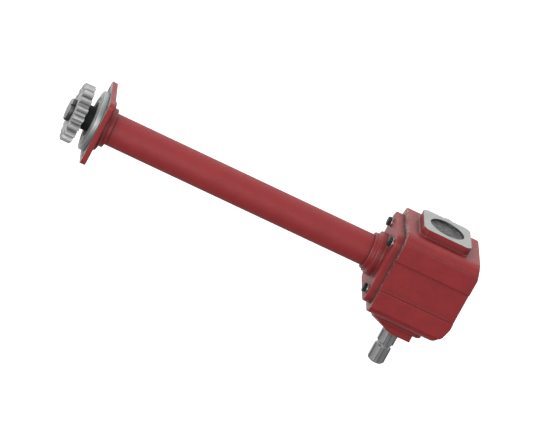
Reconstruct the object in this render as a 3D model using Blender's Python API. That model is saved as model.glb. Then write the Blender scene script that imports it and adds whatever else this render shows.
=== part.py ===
"""Right angle bevel gearbox with a long output tube, as used on rotary tillers and mowers.

Frame: +Z up from the housing's machined foot, +X away from the tube, +Y towards the closed end of
the input bore.  The two shaft axes cross at (0, 0, AXIS_HEIGHT).  Every mesh is made in millimetres
about that crossing point, and the empty under each group of objects carries it to its place.

Distances along a shaft are measured from the crossing: "t" outwards along the tube (-X), "p" outwards
along the splined end of the input shaft (-Y), and "q" towards the closed end (+Y).
"""

import math

import bmesh
import bpy
from mathutils import Vector

MM = 0.001
GAP = 0.3                    # clearance between pieces that touch
AXIS_HEIGHT = 90.0           # foot to shaft axes

# An axis is its outward direction and the two directions that its angles are measured from.
TUBE = (Vector((-1, 0, 0)), Vector((0, 1, 0)), Vector((0, 0, 1)))
PTO = (Vector((0, -1, 0)), Vector((1, 0, 0)), Vector((0, 0, 1)))
REAR = (Vector((0, 1, 0)), Vector((1, 0, 0)), Vector((0, 0, 1)))
BACK = (Vector((1, 0, 0)), Vector((0, 1, 0)), Vector((0, 0, 1)))
UP = (Vector((0, 0, 1)), Vector((1, 0, 0)), Vector((0, 1, 0)))
DOWN = (Vector((0, 0, -1)), Vector((1, 0, 0)), Vector((0, 1, 0)))

ROUND = 32                   # sides of a visible round piece
SMALL = 24                   # sides of a small round piece
HIDDEN = 20                  # sides of a ring inside the casings

# Housing casting
JOINT_FACE = 75.0            # t of the machined face that the tube flange bolts to
BACK_FACE = 83.5             # from the crossing to the end away from the tube
BODY_HALF_Y = 91.0
BODY_HALF_Z = 83.0
SHOULDER_Y = 73.0            # where the rounded shoulders start
SHOULDER_Z = 58.0
BAND_INNER = 33.5            # the two raised bands on the upper and lower faces
BAND_RISE = 4.0
BACK_CORNERS = ((62.0, -BODY_HALF_Y), (78.0, -68.0), (BACK_FACE, -48.0),
                (BACK_FACE, 68.0), (78.0, BODY_HALF_Y))     # x and y round the back end
PAD_HALF_X = 51.0            # octagonal pads round the input bearings
REAR_PAD_HALF_Z = 51.5
FRONT_PAD_HALF_Z = 41.0
PAD_CORNER = 9.0
LUG_RADIUS = 9.0             # rounded lug on the lower edge of the rear pad
LUG_X = 4.0
LUG_Z = -47.5
PAD_FACE = 108.0
NOSE_FACE = 124.0            # boss that holds the input seal
NOSE_BACK_X = 35.5
NOSE_FRONT_X = -46.0
NOSE_HALF_Z = 36.0
NOSE_FACET = (Vector((-3, -125, 36)), Vector((-48, -105, 36)), Vector((-36, -123, 0)))
FOOT_HALF_X = 58.0           # machined foot under the casting
FOOT_HALF_Y = 62.0
FOOT_BOLT_X = 42.0
FOOT_BOLT_Y = 46.0
CROWN_ROOM = 65.5            # radius of the room for the crown gear and of the opening
CROWN_ROOM_END = 68.0
PINION_ROOM = 47.0
BEARING_ROOM = 76.0          # where the input bearing bores start
BEARING_SHOULDER = 96.3

# Bearings, all of one size: 35 x 72 x 18
BORE_RADIUS = 36.0
CUP_RADIUS = 35.7
CUP_WIDTH = 15.0
CONE_BORE = 17.8
CONE_WIDTH = 17.0
BEARING_WIDTH = 18.0
ROLLERS = 12
RING_GROOVE = 38.0           # groove radius for an internal retaining ring

# Tube flange, tube and end flange
FLANGE_INNER = 76.3
FLANGE_OUTER = 92.0
FLANGE_HALF = 77.0
FLANGE_CORNER = 24.0
FLANGE_BOLT = 53.0
HUB_INNER = 61.0
COLLAR_BIG = (45.0, 107.0)   # radius and outer end
COLLAR_SMALL = (38.0, 118.0)
TUBE_RADIUS = 32.5
TUBE_BORE = 26.5
TUBE_START = 107.5
TUBE_END = 681.7
END_COLLAR_SMALL = (40.0, 670.0)
END_COLLAR_BIG = (51.0, 680.0)
PLATE_INNER = 689.0
PLATE_OUTER = 700.0
PLATE_HALF = 68.5
PLATE_CORNER = 12.0
PLATE_BOLT = 53.0
CARRIER_SPIGOT = 44.0
CARRIER_RADIUS = 61.0
CARRIER_FACE = 712.0

# Bevel gears: 14 and 21 teeth of module 5.5
BEVEL_MODULE = 5.5
PINION_TEETH = 14
CROWN_TEETH = 21
BEVEL_FACE = 22.0
BEVEL_BACKLASH = 0.4
PRESSURE_ANGLE = math.radians(20)

# Spur gear on the output end
SPUR_MODULE = 6.0
SPUR_TEETH = 18
SPUR_START = 729.0
SPUR_END = 750.5
SPUR_CHAMFER = 5.0

# Shafts
BEARING_SEAT = 17.5
OUTPUT_START = 22.0
OUTPUT_END = 761.5
INPUT_REAR = 97.0
PTO_END = 200.0
PTO_SPLINES = 6
PTO_TIP = 17.45              # 1 3/8 inch shaft
PTO_ROOT = 14.7
PTO_GROOVE = 160.0           # middle of the locking groove
PTO_GROOVE_WIDTH = 7.0
PTO_SPLINE_START = 134.0

BOLT_RADIUS = 5.0            # M10
HEAD_FLAT = 8.5              # half the distance across the flats
WASHER_RADIUS = 10.0
WASHER_THICKNESS = 2.0


# ---------------------------------------------------------------- scene and materials

def clear_scene():
    """Removes every object, so that the script gives the same scene each run."""
    for old in list(bpy.data.objects):
        bpy.data.objects.remove(old, do_unlink=True)


def material(name, colour, roughness, metallic):
    """A plain Principled material."""
    made = bpy.data.materials.new(name)
    made.use_nodes = True
    shader = made.node_tree.nodes["Principled BSDF"]
    shader.inputs["Base Color"].default_value = (*colour, 1.0)
    shader.inputs["Roughness"].default_value = roughness
    shader.inputs["Metallic"].default_value = metallic
    made.diffuse_color = (*colour, 1.0)
    return made


def axis_empty(name):
    """An empty on the crossing of the two shaft axes, the parent of one group of pieces."""
    empty = bpy.data.objects.new(name, None)
    empty.location = (0, 0, AXIS_HEIGHT * MM)
    bpy.context.collection.objects.link(empty)
    return empty


def piece(name, mesh, finish, parent):
    """Links a finished mesh into the scene under its empty, smooth on its round faces."""
    mesh.name = name
    mesh.materials.clear()
    mesh.materials.append(finish)
    mesh.shade_smooth()
    mesh.set_sharp_from_angle(angle=math.radians(30))
    made = bpy.data.objects.new(name, mesh)
    bpy.context.collection.objects.link(made)
    made.parent = parent
    return made


# ---------------------------------------------------------------- meshes

def at(axis, along, radius, angle):
    """The point at a distance along an axis, at a radius and an angle round it."""
    return axis[0] * along + axis[1] * (radius * math.cos(angle)) + axis[2] * (radius * math.sin(angle))


def ring(axis, along, radius, sides):
    """A circle of points, or the one point on the axis when the radius is zero."""
    if radius == 0:
        return [axis[0] * along]
    return [at(axis, along, radius, 2 * math.pi * k / sides) for k in range(sides)]


def bridge(bm, one, other):
    """Faces between two closed rows of vertices; the longer holds a whole multiple of the shorter."""
    if len(one) < len(other):
        one, other = other, one
    step = len(one) // len(other)
    for k in range(len(one)):
        after = (k + 1) % len(one)
        near = other[((k + step // 2) // step) % len(other)]
        far = other[((k + 1 + step // 2) // step) % len(other)]
        bm.faces.new(list(dict.fromkeys((one[k], one[after], far, near))))


def skin(sections, closed=False):
    """A solid through closed sections of points, capped at its ends or joined last to first."""
    bm = bmesh.new()
    rows = [[bm.verts.new(point * MM) for point in section] for section in sections]
    for one, other in zip(rows, rows[1:]):
        bridge(bm, one, other)
    if closed:
        bridge(bm, rows[-1], rows[0])
    else:
        for end in (rows[0], rows[-1]):
            if len(end) > 1:
                bm.faces.new(end)
    bmesh.ops.recalc_face_normals(bm, faces=bm.faces)
    mesh = bpy.data.meshes.new("solid")
    bm.to_mesh(mesh)
    bm.free()
    return mesh


def turned(axis, profile, sides=ROUND):
    """A turned solid: its profile is (along, radius) pairs, and it ends on the axis or is a ring."""
    on_axis = profile[0][1] == 0 and profile[-1][1] == 0
    return skin([ring(axis, along, radius, sides) for along, radius in profile], closed=not on_axis)


def rod(axis, start, end, radius, sides=SMALL):
    """A plain round bar."""
    return skin([ring(axis, start, radius, sides), ring(axis, end, radius, sides)])


def prism(axis, start, end, outline):
    """A flat outline of (first, second) coordinates, pulled from start to end along an axis."""
    return skin([[axis[0] * along + axis[1] * first + axis[2] * second for first, second in outline]
                 for along in (start, end)])


def block(low, high):
    """A box between two opposite corners."""
    outline = [(low[0], low[1]), (high[0], low[1]), (high[0], high[1]), (low[0], high[1])]
    return prism(UP, low[2], high[2], outline)


def cut_corners(half_a, half_b, corner):
    """An octagon: a rectangle with its corners cut off."""
    return [(half_a, half_b - corner), (half_a - corner, half_b),
            (corner - half_a, half_b), (-half_a, half_b - corner),
            (-half_a, corner - half_b), (corner - half_a, -half_b),
            (half_a - corner, -half_b), (half_a, corner - half_b)]


def round_corners(half_a, half_b, radius, steps=5):
    """A rectangle with round corners, each of them an arc of a few straight steps."""
    points = []
    for quarter in range(4):
        centre_a = (half_a - radius) * (1 if quarter in (0, 3) else -1)
        centre_b = (half_b - radius) * (1 if quarter in (0, 1) else -1)
        for k in range(steps + 1):
            angle = math.pi / 2 * (quarter + k / steps)
            points.append((centre_a + radius * math.cos(angle), centre_b + radius * math.sin(angle)))
    return points


def hexagon(flat):
    """A hexagon, given half its distance across the flats."""
    corner = flat / math.cos(math.pi / 6)
    return [(corner * math.cos(math.pi / 3 * k), corner * math.sin(math.pi / 3 * k)) for k in range(6)]


def combine(mesh, tool, operation):
    """The mesh after one exact Boolean with a tool mesh."""
    body = bpy.data.objects.new("body", mesh)
    cutter = bpy.data.objects.new("cutter", tool)
    for made in (body, cutter):
        bpy.context.collection.objects.link(made)
    boolean = body.modifiers.new("boolean", "BOOLEAN")
    boolean.operation = operation
    boolean.object = cutter
    boolean.solver = "EXACT"
    graph = bpy.context.evaluated_depsgraph_get()
    result = bpy.data.meshes.new_from_object(body.evaluated_get(graph))
    for made in (body, cutter):
        bpy.data.objects.remove(made, do_unlink=True)
    return result


def add(mesh, *tools):
    """The mesh with other solids joined to it."""
    for tool in tools:
        mesh = combine(mesh, tool, "UNION")
    return mesh


def cut(mesh, *tools):
    """The mesh with other solids taken out of it."""
    for tool in tools:
        mesh = combine(mesh, tool, "DIFFERENCE")
    return mesh


def shifted(mesh, first, second, axis):
    """Moves a mesh made about an axis to a parallel one."""
    for vertex in mesh.vertices:
        vertex.co += (axis[1] * first + axis[2] * second) * MM
    return mesh


# ---------------------------------------------------------------- casings

def body_section():
    """The casting's cross-section along the tube: flat top and bottom, with rounded shoulders."""
    points = []
    for quarter in range(4):
        side_y = 1 if quarter in (0, 3) else -1
        side_z = 1 if quarter in (0, 1) else -1
        for k in range(5):
            angle = math.pi / 2 * (quarter + k / 4)
            points.append((side_y * SHOULDER_Y + (BODY_HALF_Y - SHOULDER_Y) * math.cos(angle),
                           side_z * SHOULDER_Z + (BODY_HALF_Z - SHOULDER_Z) * math.sin(angle)))
    return points


def body_plan():
    """The casting's outline from above: a rectangle with shaped corners at the back end."""
    return [(-JOINT_FACE, -BODY_HALF_Y), *BACK_CORNERS, (-JOINT_FACE, BODY_HALF_Y)]


def nose_outline():
    """The seal boss seen along the input shaft."""
    return [(NOSE_BACK_X, NOSE_HALF_Z), (NOSE_FRONT_X, NOSE_HALF_Z),
            (NOSE_FRONT_X, -NOSE_HALF_Z), (NOSE_BACK_X, -NOSE_HALF_Z)]


def nose_facet():
    """What is cut off the seal boss's upper corner on the tube side: all beyond a sloping plane."""
    first, second, third = NOSE_FACET
    along = (second - first).normalized()
    outward = along.cross(third - first).normalized()
    start = outward.dot(first)
    return prism((outward, along, outward.cross(along)), start, start + 40,
                 [(-60, -6), (12, -6), (12, 80), (-60, 80)])


def plug_places():
    """Axis, two offsets and face distance of the filler, level and drain plugs."""
    return {"filler_plug": (BACK, -26.0, -3.0, BACK_FACE + 3.0),
            "level_plug": (BACK, 24.0, -22.0, BACK_FACE + 3.0),
            "drain_plug": (BACK, 0.0, -56.0, BACK_FACE + 3.0)}


def housing_mesh():
    """The cast case: body, bands, pads, seal boss and foot, then its rooms, bores and bolt holes."""
    band_top = BODY_HALF_Z + BAND_RISE
    mesh = prism(BACK, -JOINT_FACE, BACK_FACE, body_section())
    for side_y in (-1, 1):
        low_y, high_y = sorted((side_y * BAND_INNER, side_y * SHOULDER_Y))
        mesh = add(mesh, block((-JOINT_FACE, low_y, -band_top), (BACK_FACE, high_y, band_top)))
    mesh = combine(mesh, prism(UP, -2 * BODY_HALF_Z, 2 * BODY_HALF_Z, body_plan()), "INTERSECT")
    mesh = add(mesh, prism(REAR, 0, PAD_FACE, cut_corners(PAD_HALF_X, REAR_PAD_HALF_Z, PAD_CORNER)),
               shifted(rod(REAR, BODY_HALF_Y - 10, PAD_FACE, LUG_RADIUS, SMALL), LUG_X, LUG_Z, REAR),
               prism(PTO, 0, PAD_FACE, cut_corners(PAD_HALF_X, FRONT_PAD_HALF_Z, PAD_CORNER)),
               prism(PTO, 0, NOSE_FACE, nose_outline()),
               block((-FOOT_HALF_X, -FOOT_HALF_Y, -AXIS_HEIGHT), (FOOT_HALF_X, FOOT_HALF_Y, 0)))
    for axis, first, second, face in plug_places().values():
        mesh = add(mesh, shifted(rod(axis, BACK_FACE - 10, face, 14.0), first, second, axis))
    mesh = cut(mesh, nose_facet(), rod(TUBE, -CROWN_ROOM_END, JOINT_FACE + 5, CROWN_ROOM, 36),
               rod(REAR, -BEARING_ROOM - 1, BEARING_ROOM + 1, PINION_ROOM, ROUND),
               turned(REAR, [(PAD_FACE + 5, 0), (PAD_FACE + 5, BORE_RADIUS), (98.6, BORE_RADIUS),
                             (98.6, RING_GROOVE), (96.6, RING_GROOVE), (96.6, BORE_RADIUS),
                             (BEARING_ROOM - 10, BORE_RADIUS), (BEARING_ROOM - 10, 0)]),
               turned(PTO, [(BEARING_ROOM - 10, 0), (BEARING_ROOM - 10, BORE_RADIUS),
                            (BEARING_SHOULDER, BORE_RADIUS), (BEARING_SHOULDER, 22.0), (111.0, 22.0),
                            (111.0, 26.0), (NOSE_FACE + 5, 26.0), (NOSE_FACE + 5, 0)]))
    for side_a in (-1, 1):
        for side_b in (-1, 1):
            mesh = cut(mesh, shifted(rod(TUBE, 50.0, JOINT_FACE + 5, BOLT_RADIUS + GAP, 12),
                                     side_a * FLANGE_BOLT, side_b * FLANGE_BOLT, TUBE),
                       shifted(rod(DOWN, AXIS_HEIGHT - 16, AXIS_HEIGHT + 5, 6.0, 12),
                               side_a * FOOT_BOLT_X, side_b * FOOT_BOLT_Y, DOWN))
    for axis, first, second, face in plug_places().values():
        mesh = cut(mesh, shifted(rod(axis, CROWN_ROOM_END - 5, face + 5, 8.3, 16), first, second, axis))
    return mesh


def tube_flange_mesh():
    """The flange bolted to the housing: spigot, bearing hub, square plate and two outer collars."""
    mesh = prism(TUBE, FLANGE_INNER, FLANGE_OUTER, round_corners(FLANGE_HALF, FLANGE_HALF, FLANGE_CORNER))
    mesh = add(mesh, turned(TUBE, [(HUB_INNER, 0), (HUB_INNER, 46.0), (70.0, 46.0), (70.0, 65.0),
                                   (80.0, 65.0), (80.0, COLLAR_BIG[0]), (COLLAR_BIG[1], COLLAR_BIG[0]),
                                   (COLLAR_BIG[1], COLLAR_SMALL[0]), (COLLAR_SMALL[1], COLLAR_SMALL[0]),
                                   (COLLAR_SMALL[1], 0)], 40))
    mesh = cut(mesh, turned(TUBE, [(HUB_INNER - 5, 0), (HUB_INNER - 5, BORE_RADIUS), (64.0, BORE_RADIUS),
                                   (64.0, RING_GROOVE), (66.3, RING_GROOVE), (66.3, BORE_RADIUS),
                                   (104.3, BORE_RADIUS), (104.3, 26.0), (TUBE_START - GAP, 26.0),
                                   (TUBE_START - GAP, TUBE_RADIUS + GAP),
                                   (COLLAR_SMALL[1] + 5, TUBE_RADIUS + GAP), (COLLAR_SMALL[1] + 5, 0)]))
    for side_a in (-1, 1):
        for side_b in (-1, 1):
            mesh = cut(mesh, shifted(rod(TUBE, JOINT_FACE, FLANGE_OUTER + 5, BOLT_RADIUS + 0.5, 12),
                                     side_a * FLANGE_BOLT, side_b * FLANGE_BOLT, TUBE))
    return mesh


def end_flange_mesh():
    """The square plate on the far end of the tube, with its two stepped collars."""
    mesh = prism(TUBE, PLATE_INNER, PLATE_OUTER, round_corners(PLATE_HALF, PLATE_HALF, PLATE_CORNER, 3))
    mesh = add(mesh, turned(TUBE, [(END_COLLAR_SMALL[1], 0), END_COLLAR_SMALL[::-1],
                                   (END_COLLAR_BIG[1], END_COLLAR_SMALL[0]), END_COLLAR_BIG[::-1],
                                   (PLATE_OUTER - 5, END_COLLAR_BIG[0]), (PLATE_OUTER - 5, 0)], 40))
    mesh = cut(mesh, turned(TUBE, [(END_COLLAR_SMALL[1] - 5, 0), (END_COLLAR_SMALL[1] - 5, TUBE_RADIUS + GAP),
                                   (TUBE_END + GAP, TUBE_RADIUS + GAP),
                                   (TUBE_END + GAP, CARRIER_SPIGOT + GAP),
                                   (PLATE_OUTER + 5, CARRIER_SPIGOT + GAP), (PLATE_OUTER + 5, 0)]))
    for side_a in (-1, 1):
        for side_b in (-1, 1):
            mesh = cut(mesh, shifted(rod(TUBE, PLATE_INNER - 5, PLATE_OUTER + 5, 5.5, 12),
                                     side_a * PLATE_BOLT, side_b * PLATE_BOLT, TUBE))
    return mesh


def build_casings(root, finishes):
    """The fixed castings, the tube, the gasket, the cap and the seals."""
    red, machined, dark, rubber = (finishes[key] for key in ("red", "machined", "dark", "rubber"))
    piece("gearbox_housing", housing_mesh(), red, root)
    piece("tube_flange", tube_flange_mesh(), red, root)
    piece("end_flange", end_flange_mesh(), red, root)
    piece("extension_tube", turned(TUBE, [(TUBE_START, TUBE_BORE), (TUBE_START, TUBE_RADIUS),
                                          (TUBE_END, TUBE_RADIUS), (TUBE_END, TUBE_BORE)]), red, root)
    piece("end_bearing_carrier", turned(TUBE, [
        (682.5, 30.0), (682.5, CARRIER_SPIGOT), (PLATE_OUTER + GAP, CARRIER_SPIGOT),
        (PLATE_OUTER + GAP, CARRIER_RADIUS), (706.0, CARRIER_RADIUS), (CARRIER_FACE, 58.0),
        (CARRIER_FACE, 46.0), (710.0, 44.0), (710.0, 40.0), (CARRIER_FACE, 38.5),
        (CARRIER_FACE, BORE_RADIUS), (702.0, BORE_RADIUS), (702.0, RING_GROOVE),
        (699.9, RING_GROOVE), (699.9, BORE_RADIUS), (684.3, BORE_RADIUS), (684.3, 30.0)]),
        machined, root)
    gasket = prism(TUBE, JOINT_FACE + GAP, FLANGE_INNER - GAP, round_corners(76.0, 76.0, 23.0))
    gasket = cut(gasket, rod(TUBE, JOINT_FACE - 5, FLANGE_INNER + 5, 66.0, 40))
    for side_a in (-1, 1):
        for side_b in (-1, 1):
            gasket = cut(gasket, shifted(rod(TUBE, JOINT_FACE - 5, FLANGE_INNER + 5, 5.8, 12),
                                         side_a * FLANGE_BOLT, side_b * FLANGE_BOLT, TUBE))
    piece("flange_gasket", gasket, rubber, root)
    piece("rear_cap", turned(REAR, [(100.0, 0), (100.0, CUP_RADIUS), (104.0, CUP_RADIUS),
                                    (104.0, 32.0), (102.5, 30.0), (102.5, 0)]), dark, root)
    piece("input_seal", turned(PTO, [(112.0, CONE_BORE), (112.0, 25.7), (122.0, 25.7), (122.0, 22.5),
                                     (120.5, 21.0), (120.5, CONE_BORE)], SMALL), rubber, root)
    piece("end_seal", turned(TUBE, [(702.6, 25.3), (702.6, CUP_RADIUS), (711.0, CUP_RADIUS),
                                    (711.0, 30.0), (709.5, 28.5), (709.5, 25.3)], SMALL), rubber, root)


# ---------------------------------------------------------------- fasteners and rings

def hex_bolt_mesh(axis, seat, head, tip):
    """A hexagon bolt: shank from its tip to its seat, and a head whose top edge is turned down."""
    hexagonal = [axis[1] * first + axis[2] * second for first, second in hexagon(HEAD_FLAT)]
    shank = BOLT_RADIUS
    shrunk = 0.9
    return skin([ring(axis, tip, shank - 1.0, 12), ring(axis, tip + 1.0, shank, 12),
                 ring(axis, seat, shank, 12),
                 [axis[0] * seat + point for point in hexagonal],
                 [axis[0] * (seat + head - 1.0) + point for point in hexagonal],
                 [axis[0] * (seat + head) + point * shrunk for point in hexagonal]])


def build_fasteners(root, finishes):
    """Flange bolts with washers, and the three plugs with their sealing washers."""
    seat = FLANGE_OUTER + GAP + WASHER_THICKNESS + GAP
    corners = [(-1, 1), (1, 1), (1, -1), (-1, -1)]
    for number, (side_a, side_b) in enumerate(corners, start=1):
        place = (side_a * FLANGE_BOLT, side_b * FLANGE_BOLT, TUBE)
        bolt = hex_bolt_mesh(TUBE, seat, 6.5, 56.0)
        piece(f"flange_bolt_{number}", shifted(bolt, *place), finishes["black"], root)
        washer = turned(TUBE, [(FLANGE_OUTER + GAP, 5.5), (FLANGE_OUTER + GAP, WASHER_RADIUS),
                               (seat - GAP, WASHER_RADIUS), (seat - GAP, 5.5)], 16)
        piece(f"flange_washer_{number}", shifted(washer, *place), finishes["zinc"], root)
    for name, (axis, first, second, face) in plug_places().items():
        washer = turned(axis, [(face + GAP, 8.4), (face + GAP, 12.0), (face + 1.8, 12.0),
                               (face + 1.8, 8.4)], 16)
        piece(name + "_washer", shifted(washer, first, second, axis), finishes["copper"], root)
        flat = [axis[1] * a + axis[2] * b for a, b in hexagon(8.5)]
        plug = skin([ring(axis, CROWN_ROOM_END + 2, 8.0, 12), ring(axis, face + 2.1, 8.0, 12),
                     ring(axis, face + 2.1, 11.5, 12), ring(axis, face + 4.6, 11.5, 12),
                     [axis[0] * (face + 4.6) + point for point in flat],
                     [axis[0] * (face + 10.0) + point for point in flat]])
        piece(name, shifted(plug, first, second, axis), finishes["zinc"], root)


def split_ring(axis, start, end, inner, outer, opening=0.35):
    """A retaining ring: a flat ring with a gap, whose half-angle is the opening in radians."""
    steps = 16
    sections = []
    for k in range(steps + 1):
        angle = opening + (2 * math.pi - 2 * opening) * k / steps
        sections.append([at(axis, along, radius, angle)
                         for along, radius in ((start, inner), (start, outer), (end, outer), (end, inner))])
    return skin(sections)


# ---------------------------------------------------------------- rolling bearings

def bulged(axis, along, middle, offset, bulge):
    """A circle that bulges at each roller; offset and bulge are negative on its inner side."""
    points = []
    for roller in range(ROLLERS):
        centre = 2 * math.pi * roller / ROLLERS
        half = math.asin(abs(bulge) / middle)
        for share, rise in ((-1.0, offset), (-0.6, 0.8 * bulge), (0.6, 0.8 * bulge), (1.0, offset)):
            points.append(at(axis, along, middle + rise, centre + share * half))
    return points


def roller_bearing(name, axis, start, facing, taper, finish, fixed, turning, loose):
    """Outer ring, inner ring and roller set.  Facing +1 puts the wide end of a taper outwards."""
    def along(distance):
        return start + distance if facing > 0 else start + BEARING_WIDTH - distance

    cup = [(0, CUP_RADIUS), (CUP_WIDTH, CUP_RADIUS), (CUP_WIDTH, 30.0 + 2 * taper), (0, 30.0 - 1.4 * taper)]
    cone = [(1.0, CONE_BORE), (CONE_WIDTH + 1, CONE_BORE), (CONE_WIDTH + 1, 24.4 + 2 * taper),
            (15.7, 24.4 + 2 * taper), (15.7, 22.9 + 1.9 * taper), (1.0, 22.9 - 1.3 * taper)]
    piece(name + "_cup", turned(axis, [(along(a), r) for a, r in cup], HIDDEN), finish, fixed)
    piece(name + "_cone", turned(axis, [(along(a), r) for a, r in cone], HIDDEN), finish, turning)
    ends = [(2.2, 26.45 - 0.95 * taper), (14.8, 26.45 + 1.85 * taper)]
    rollers = skin([bulged(axis, along(a), middle, side * 0.7, side * 2.9)
                    for side, order in ((1, ends), (-1, ends[::-1])) for a, middle in order], closed=True)
    piece(name + "_rollers", rollers, finish, loose)


# ---------------------------------------------------------------- gears

def involute(angle):
    """The involute function."""
    return math.tan(angle) - angle


def tooth_outline(pitch, module, teeth, spread, backlash, dedendum=1.25):
    """Radius and angle round a whole gear, ten points a tooth, starting in a tooth space.

    Spread is the angle on the gear per angle on the profile: one for a spur gear, and the inverse
    cosine of the pitch angle for a bevel gear, whose profile is drawn on its developed back cone.
    """
    base = pitch * math.cos(PRESSURE_ANGLE)
    tip = pitch + module
    root = pitch - dedendum * module
    lowest = max(base, root)
    radii = [root, lowest + 0.1 * module, pitch + 0.15 * module, tip]
    at_pitch = (math.pi * module / 2 - backlash) / (2 * pitch) + involute(PRESSURE_ANGLE)

    def half_angle(radius):
        roll = math.acos(min(1.0, base / radius))
        return (at_pitch - involute(roll)) * spread

    points = []
    for tooth in range(teeth):
        centre = 2 * math.pi * tooth / teeth
        points.append((root, centre - math.pi / teeth))
        points.extend((radius, centre - half_angle(radius)) for radius in radii)
        points.append((tip, centre))
        points.extend((radius, centre + half_angle(radius)) for radius in reversed(radii))
    return points


def bevel_gear_mesh(axis, teeth, mate, toe_web, back):
    """A straight bevel gear with its apex at the crossing of the shaft axes.

    Toe_web and back are (along, radius) pairs: the front of the hub from the bore outwards, and the
    back of the gear from the teeth to the bore.
    """
    cone = math.atan2(teeth, mate)
    pitch = BEVEL_MODULE * teeth / 2
    distance = pitch / math.sin(cone)
    outline = tooth_outline(pitch / math.cos(cone), BEVEL_MODULE, teeth, 1 / math.cos(cone), BEVEL_BACKLASH)
    heel = [at(axis, distance / math.cos(cone) - radius * math.sin(cone), radius * math.cos(cone), angle)
            for radius, angle in outline]
    toe = [point * ((distance - BEVEL_FACE) / distance) for point in heel]

    def hub(along, radius):
        first = math.pi / teeth
        return [at(axis, along, radius, k * first - first) for k in range(2 * teeth)]

    return skin([hub(*pair) for pair in toe_web] + [toe, heel] + [hub(*pair) for pair in back], closed=True)


def spur_gear_mesh():
    """The output spur gear, its tooth ends chamfered on both faces."""
    outline = tooth_outline(SPUR_MODULE * SPUR_TEETH / 2, SPUR_MODULE, SPUR_TEETH, 1.0, 0.3)
    clip = SPUR_MODULE * (SPUR_TEETH / 2 + 1) - SPUR_CHAMFER

    def section(along, limit):
        return [at(TUBE, along, min(radius, limit), angle) for radius, angle in outline]

    def hub(along, radius):
        first = math.pi / SPUR_TEETH
        return [at(TUBE, along, radius, k * first - first) for k in range(2 * SPUR_TEETH)]

    whole = clip + SPUR_CHAMFER
    slope = SPUR_CHAMFER * 0.8
    return skin([hub(SPUR_START, 16.3), hub(SPUR_START, 36.0), section(SPUR_START, clip),
                 section(SPUR_START + slope, whole), section(SPUR_END - slope, whole),
                 section(SPUR_END, clip), hub(SPUR_END, 36.0), hub(SPUR_END, 16.3)], closed=True)


# ---------------------------------------------------------------- shafts

def spline_section(along, limit):
    """The six splines of the input shaft, cut down to a limiting radius."""
    half_land = 4.35                     # half the width of a spline
    points = []
    for spline in range(PTO_SPLINES):
        centre = 2 * math.pi * spline / PTO_SPLINES
        gap = math.pi / PTO_SPLINES
        for radius, side in ((PTO_ROOT, -1), (PTO_TIP, -1), (PTO_TIP, 0), (PTO_TIP, 1), (PTO_ROOT, 1)):
            points.append(at(PTO, along, min(radius, limit), centre + side * math.asin(half_land / radius)))
        points.append(at(PTO, along, min(PTO_ROOT, limit), centre + gap))
    return points


def input_shaft_mesh():
    """The through shaft: rear journal, collar, pinion seat, front journal and splined end."""
    sides = 3 * PTO_SPLINES
    seat = BEARING_SEAT
    journal = [(-INPUT_REAR, 0), (-INPUT_REAR, seat - 1), (1 - INPUT_REAR, seat), (-77.7, seat),
               (-77.7, 22.0), (-62.0, 22.0), (-62.0, 18.0), (39.2, 18.0), (39.2, 16.8), (41.6, 16.8),
               (41.6, 18.0), (77.5, 18.0), (77.5, seat), (PTO_SPLINE_START - 2, seat)]
    low = PTO_GROOVE - PTO_GROOVE_WIDTH / 2
    high = PTO_GROOVE + PTO_GROOVE_WIDTH / 2
    splines = [(PTO_SPLINE_START, PTO_TIP), (low, PTO_TIP), (low + 1.5, PTO_ROOT - 0.3),
               (high - 1.5, PTO_ROOT - 0.3), (high, PTO_TIP), (PTO_END - 3, PTO_TIP),
               (PTO_END, PTO_ROOT - 0.6)]
    sections = [ring(PTO, along, radius, sides) for along, radius in journal]
    sections += [spline_section(along, limit) for along, limit in splines]
    return skin(sections)


def output_shaft_mesh():
    """The long shaft from the crown gear, through the tube, to the spur gear."""
    shoulder, seat_end = SPUR_START - GAP, SPUR_END + 0.2
    profile = [(OUTPUT_START, 0), (OUTPUT_START, 14.0), (OUTPUT_START + 1, 15.0), (29.5, 15.0), (29.5, 17.2),
               (67.4, 17.2), (67.4, BEARING_SEAT), (103.6, BEARING_SEAT), (103.6, 21.0), (682.5, 21.0),
               (682.5, BEARING_SEAT), (shoulder, BEARING_SEAT), (shoulder, 16.0), (seat_end, 16.0),
               (seat_end, 14.0), (OUTPUT_END - 1, 14.0), (OUTPUT_END, 13.0), (OUTPUT_END, 0)]
    return turned(TUBE, profile, HIDDEN)


def key_block(axis, start, end, low, high, half_width):
    """A rectangular bar along a shaft, on the first of its two side directions."""
    outline = [(low, -half_width), (high, -half_width), (high, half_width), (low, half_width)]
    return prism(axis, start, end, outline)


def keyed(name, axis, shaft, gear, start, end, radius, parent, finish):
    """Cuts one keyway through a gear's bore and its seat on the shaft, and adds the key."""
    low, high, half_width = radius - 3.5, radius + 3.0, 4.0
    margin = GAP
    shaft = cut(shaft, key_block(axis, start - margin, end + margin, low - margin, radius + 9,
                                 half_width + margin))
    gear = cut(gear, key_block(axis, start - 60, end + 60, 0, high + margin, half_width + margin))
    piece(name, key_block(axis, start, end, low, high, half_width), finish, parent)
    return shaft, gear


def slotted_nut(axis, start, end, inner, outer, slots=4):
    """A round nut with slots for a hook spanner."""
    mesh = turned(axis, [(start, inner), (start, outer), (end - 1.5, outer), (end, outer - 1.5), (end, inner)],
                  SMALL)
    for k in range(slots):
        angle = 2 * math.pi * (k + 0.5) / slots
        first, second = outer * math.cos(angle), outer * math.sin(angle)
        mesh = cut(mesh, shifted(rod(axis, start - 1, end + 1, 2.5, 8), first, second, axis))
    return mesh


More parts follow.
